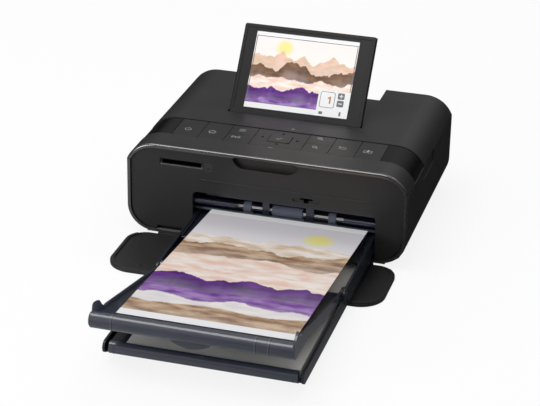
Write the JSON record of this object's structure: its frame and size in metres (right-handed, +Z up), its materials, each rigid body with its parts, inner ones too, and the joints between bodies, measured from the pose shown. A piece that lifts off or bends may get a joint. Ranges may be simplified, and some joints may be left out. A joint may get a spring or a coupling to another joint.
{
  "type": "compact photo printer",
  "caption": "Free-standing compact photo printer with a tilting screen, a key band, a slide-in paper cassette with a raised output tray, a hinged front cover and a ribbon bay.",
  "frame": {"origin": "on the table plane, in the middle of the part's width and of its whole depth with the cassette and the tray in place", "axes": "+X to the right as seen from the front, +Y to the back, +Z up"},
  "size_m": [0.18, 0.3119, 0.1111],
  "materials": {
    "case_plastic": "fine matt texture",
    "hood_plastic": "satin with a polished front rim",
    "band_gloss": "piano gloss",
    "key_plastic": "satin",
    "liner_plastic": "matt dark navy",
    "screen_plastic": "gloss",
    "display": "lit display",
    "cassette_plastic": "satin dark navy",
    "smoked": "smoked translucent",
    "paper": "smooth paper",
    "print": "glossy photo print",
    "pin_steel": "ground",
    "sheet_steel": "zinc plated",
    "roller_rubber": "matt",
    "gear_plastic": "moulded natural",
    "pinion_brass": "cut",
    "motor_can": "plated can",
    "head_aluminium": "extruded",
    "board": "solder mask",
    "socket_plastic": "matt",
    "ribbon_plastic": "matt grey",
    "ribbon_dye": "thin dye film",
    "foot_rubber": "matt"
  },
  "bodies": {
    "case": {"bottom_case": "case_plastic", "top_cover": "hood_plastic", "front_panel": "case_plastic", "rear_panel": "case_plastic", "mouth_liner": "liner_plastic", "key_band": "band_gloss", "key_board": "board", "screen_pins": "pin_steel", "front_cover_pins": "pin_steel", "ink_cover_pins": "pin_steel", "ribbon_case": "ribbon_plastic", "ribbon_film": "ribbon_dye", "thermal_head": "head_aluminium", "left_frame": "sheet_steel", "right_frame": "sheet_steel", "feed_motor": "motor_can", "main_board": "board", "card_reader": "sheet_steel", "power_socket": "socket_plastic", "usb_socket": "sheet_steel", "rubber_feet": "foot_rubber", "case_screws": "pin_steel"},
    "screen": {"screen_frame": "screen_plastic", "screen_mask": "band_gloss", "lcd_panel": "display", "screen_back": "screen_plastic"},
    "cover": {"front_cover": "case_plastic"},
    "ink_door": {"ink_cover": "case_plastic"},
    "supply": {"supply_spool": "ribbon_dye"},
    "takeup": {"takeup_spool": "ribbon_dye"},
    "cassette": {"cassette_base": "cassette_plastic", "cassette_front": "smoked", "cassette_lid": "cassette_plastic", "paper_stack": "paper", "tray_pins": "pin_steel"},
    "tray": {"output_tray": "smoked"},
    "print": {"print_sheet": "print"},
    "feed": {"feed_shaft": "pin_steel", "feed_rollers": "roller_rubber", "feed_gear": "gear_plastic"},
    "pinch": {"pinch_rollers": "roller_rubber"},
    "platen": {"platen_roller": "roller_rubber", "platen_gear": "gear_plastic"},
    "idler": {"idler_gear": "gear_plastic"},
    "pinion": {"motor_pinion": "pinion_brass"},
    "gimbal": {"nav_gimbal": "ribbon_plastic"},
    "pad": {"nav_pad": "key_plastic"},
    "key_power_cap": {"key_power": "key_plastic"},
    "key_home_cap": {"key_home": "key_plastic"},
    "key_menu_cap": {"key_menu": "key_plastic"},
    "key_wireless_cap": {"key_wireless": "key_plastic"},
    "key_zoom_in_cap": {"key_zoom_in": "key_plastic"},
    "key_zoom_out_cap": {"key_zoom_out": "key_plastic"},
    "key_back_cap": {"key_back": "key_plastic"},
    "key_print_cap": {"key_print": "key_plastic"},
    "key_ok_cap": {"key_ok": "key_plastic"}
  },
  "joints": [
    {"name": "screen_tilt", "type": "hinge", "parent": "case", "child": "screen", "pos_m": [0, 0.08946, 0.0585], "axis": [1, 0, 0], "range_deg": [-53.5, 0]},
    {"name": "front_cover_lift", "type": "hinge", "parent": "case", "child": "cover", "pos_m": [0, 0.02236, 0.0039], "axis": [-1, 0, 0], "range_deg": [0, 2]},
    {"name": "ink_cover_swing", "type": "hinge", "parent": "case", "child": "ink_door", "pos_m": [0.08641, 0.07996, 0.0135], "axis": [0, 1, 0], "range_deg": [0, 90]},
    {"name": "supply_turn", "type": "hinge", "parent": "case", "child": "supply", "pos_m": [0, 0.05996, 0.03625], "axis": [1, 0, 0], "continuous": true},
    {"name": "takeup_turn", "type": "hinge", "parent": "case", "child": "takeup", "pos_m": [0, 0.09996, 0.03625], "axis": [1, 0, 0], "continuous": true},
    {"name": "cassette_slide", "type": "slide", "parent": "case", "child": "cassette", "axis": [0, -1, 0], "range_m": [0, 0.018]},
    {"name": "tray_fold", "type": "hinge", "parent": "cassette", "child": "tray", "pos_m": [0, -0.04604, 0.0152], "axis": [1, 0, 0], "range_deg": [0, 12.4]},
    {"name": "print_rest", "type": "hinge", "parent": "cassette", "child": "print", "pos_m": [0, 0.01596, 0.0236], "axis": [1, 0, 0], "range_deg": [0, 7.85]},
    {"name": "platen_turn", "type": "hinge", "parent": "case", "child": "platen", "pos_m": [0, 0.07996, 0.0223], "axis": [1, 0, 0], "continuous": true},
    {"name": "feed_turn", "type": "hinge", "parent": "case", "child": "feed", "pos_m": [0, 0.02916, 0.0251], "axis": [1, 0, 0], "continuous": true},
    {"name": "idler_turn", "type": "hinge", "parent": "case", "child": "idler", "pos_m": [0, 0.05246, 0.03086], "axis": [1, 0, 0], "continuous": true},
    {"name": "pinion_turn", "type": "hinge", "parent": "case", "child": "pinion", "pos_m": [0, 0.07463, 0.04365], "axis": [1, 0, 0], "continuous": true},
    {"name": "pinch_turn", "type": "hinge", "parent": "case", "child": "pinch", "pos_m": [0, 0.02916, 0.01985], "axis": [1, 0, 0], "continuous": true},
    {"name": "pad_roll", "type": "hinge", "parent": "case", "child": "gimbal", "pos_m": [0, 0.05296, 0.05935], "axis": [0, 1, 0], "range_deg": [-0.9, 0.9], "stiffness_Nm_per_rad": 0.12},
    {"name": "pad_pitch", "type": "hinge", "parent": "gimbal", "child": "pad", "pos_m": [0, 0.05296, 0.05935], "axis": [1, 0, 0], "range_deg": [-0.9, 0.9], "stiffness_Nm_per_rad": 0.12},
    {"name": "key_power_press", "type": "slide", "parent": "case", "child": "key_power_cap", "axis": [0, 0, -1], "range_m": [0, 0.0004], "stiffness_N_per_m": 600},
    {"name": "key_home_press", "type": "slide", "parent": "case", "child": "key_home_cap", "axis": [0, 0, -1], "range_m": [0, 0.0004], "stiffness_N_per_m": 600},
    {"name": "key_menu_press", "type": "slide", "parent": "case", "child": "key_menu_cap", "axis": [0, 0, -1], "range_m": [0, 0.0004], "stiffness_N_per_m": 600},
    {"name": "key_wireless_press", "type": "slide", "parent": "case", "child": "key_wireless_cap", "axis": [0, 0, -1], "range_m": [0, 0.0004], "stiffness_N_per_m": 600},
    {"name": "key_zoom_in_press", "type": "slide", "parent": "case", "child": "key_zoom_in_cap", "axis": [0, 0, -1], "range_m": [0, 0.0004], "stiffness_N_per_m": 600},
    {"name": "key_zoom_out_press", "type": "slide", "parent": "case", "child": "key_zoom_out_cap", "axis": [0, 0, -1], "range_m": [0, 0.0004], "stiffness_N_per_m": 600},
    {"name": "key_back_press", "type": "slide", "parent": "case", "child": "key_back_cap", "axis": [0, 0, -1], "range_m": [0, 0.0004], "stiffness_N_per_m": 600},
    {"name": "key_print_press", "type": "slide", "parent": "case", "child": "key_print_cap", "axis": [0, 0, -1], "range_m": [0, 0.0004], "stiffness_N_per_m": 600},
    {"name": "key_ok_press", "type": "slide", "parent": "case", "child": "key_ok_cap", "axis": [0, 0, -1], "range_m": [0, 0.0004], "stiffness_N_per_m": 600}
  ],
  "couplings": [
    {"joint": "print_rest", "follows": "tray_fold", "ratio": 0.63266},
    {"joint": "feed_turn", "follows": "platen_turn", "ratio": 2},
    {"joint": "idler_turn", "follows": "platen_turn", "ratio": -0.5},
    {"joint": "pinion_turn", "follows": "platen_turn", "ratio": 1.5}
  ]
}
